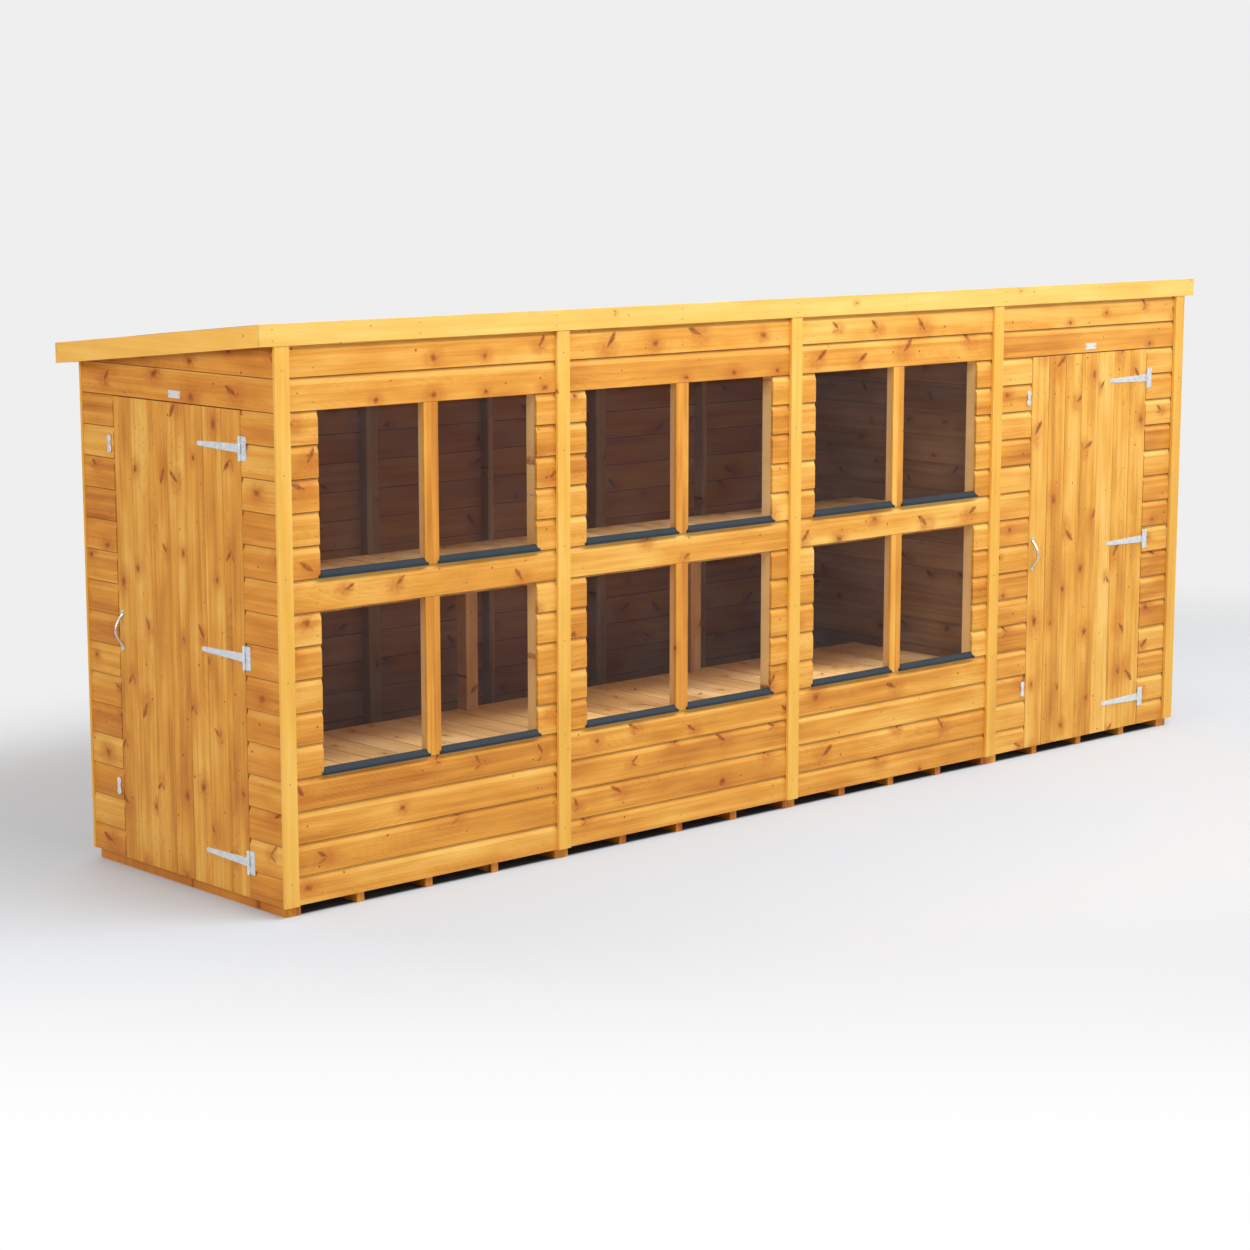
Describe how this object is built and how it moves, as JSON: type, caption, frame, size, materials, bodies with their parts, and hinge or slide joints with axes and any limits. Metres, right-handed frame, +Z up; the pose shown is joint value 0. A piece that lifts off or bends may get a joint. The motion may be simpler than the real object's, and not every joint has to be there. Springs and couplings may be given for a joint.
{
  "type": "potting shed",
  "caption": "Long pent-roofed timber potting shed with glazed front panels over staging, a door in one end and a separate store with its own front door.",
  "frame": {"origin": "on the ground, under the middle of the shed's overall box", "axes": "+X along the front towards the store, +Y from the windowed front to the back, +Z up"},
  "size_m": [5.0414, 1.2826, 2.012],
  "materials": {
    "cladding_timber": "dip-treated shiplap softwood",
    "door_timber": "dip-treated tongued softwood boards",
    "strip_timber": "dip-treated planed softwood",
    "frame_timber": "sawn and planed softwood",
    "glazing": "clear sheet",
    "sill_plastic": "anthracite extruded plastic",
    "galvanised_steel": "zinc-coated pressed steel",
    "roof_felt": "mineral roofing felt"
  },
  "bodies": {
    "shed": {"floor_joists": "frame_timber", "floor_boards": "frame_timber", "window_frame_1": "frame_timber", "window_cladding_1": "frame_timber", "window_mullions_1": "strip_timber", "window_panes_1": "glazing", "window_sills_1": "sill_plastic", "window_frame_2": "frame_timber", "window_cladding_2": "frame_timber", "window_mullions_2": "strip_timber", "window_panes_2": "glazing", "window_sills_2": "sill_plastic", "window_frame_3": "frame_timber", "window_cladding_3": "frame_timber", "window_mullions_3": "strip_timber", "window_panes_3": "glazing", "window_sills_3": "sill_plastic", "door_panel_frame": "frame_timber", "door_panel_cladding": "cladding_timber", "back_frames": "frame_timber", "back_cladding": "cladding_timber", "left_end_frame": "frame_timber", "left_end_cladding": "cladding_timber", "right_end_frame": "frame_timber", "right_end_cladding": "cladding_timber", "partition_frame": "frame_timber", "partition_boards": "frame_timber", "front_cover_strips": "strip_timber", "back_cover_strips": "strip_timber", "corner_strips": "strip_timber", "roof_rafters": "frame_timber", "roof_boards": "frame_timber", "roof_felt": "roof_felt", "front_fascia": "strip_timber", "back_fascia": "strip_timber", "left_fascia": "strip_timber", "right_fascia": "strip_timber", "lower_shelf_boards": "frame_timber", "upper_shelf_boards": "frame_timber", "staging_frame": "frame_timber", "left_hinge_flaps": "galvanised_steel", "left_hinge_pins": "galvanised_steel", "front_hinge_flaps": "galvanised_steel", "front_hinge_pins": "galvanised_steel", "turn_button_pivots": "galvanised_steel"},
    "left_end_door": {"left_door_boards": "door_timber", "left_door_ledges": "frame_timber", "left_door_hinge_straps": "galvanised_steel", "left_door_handle": "galvanised_steel"},
    "front_door": {"front_door_boards": "door_timber", "front_door_ledges": "frame_timber", "front_door_hinge_straps": "galvanised_steel", "front_door_handle": "galvanised_steel"},
    "left_lower_button": {"left_lower_turn_button": "galvanised_steel"},
    "left_upper_button": {"left_upper_turn_button": "galvanised_steel"},
    "front_lower_button": {"front_lower_turn_button": "galvanised_steel"},
    "front_upper_button": {"front_upper_turn_button": "galvanised_steel"}
  },
  "joints": [
    {"name": "left_end_door_hinge", "type": "hinge", "parent": "shed", "child": "left_end_door", "pos_m": [-2.463, -0.40823, 0.875], "axis": [0, 0, 1], "range_deg": [0, 170]},
    {"name": "left_lower_button_pivot", "type": "hinge", "parent": "shed", "child": "left_lower_button", "pos_m": [-2.457, 0.39827, 0.299], "axis": [-1, 0, 0], "range_deg": [0, 90]},
    {"name": "left_upper_button_pivot", "type": "hinge", "parent": "shed", "child": "left_upper_button", "pos_m": [-2.457, 0.39827, 1.545], "axis": [-1, 0, 0], "range_deg": [0, 90]},
    {"name": "front_door_hinge", "type": "hinge", "parent": "shed", "child": "front_door", "pos_m": [2.2185, -0.61173, 0.875], "axis": [0, 0, 1], "range_deg": [0, 170]},
    {"name": "front_lower_button_pivot", "type": "hinge", "parent": "shed", "child": "front_lower_button", "pos_m": [1.412, -0.60573, 0.299], "axis": [0, -1, 0], "range_deg": [0, 90]},
    {"name": "front_upper_button_pivot", "type": "hinge", "parent": "shed", "child": "front_upper_button", "pos_m": [1.412, -0.60573, 1.545], "axis": [0, -1, 0], "range_deg": [0, 90]}
  ]
}
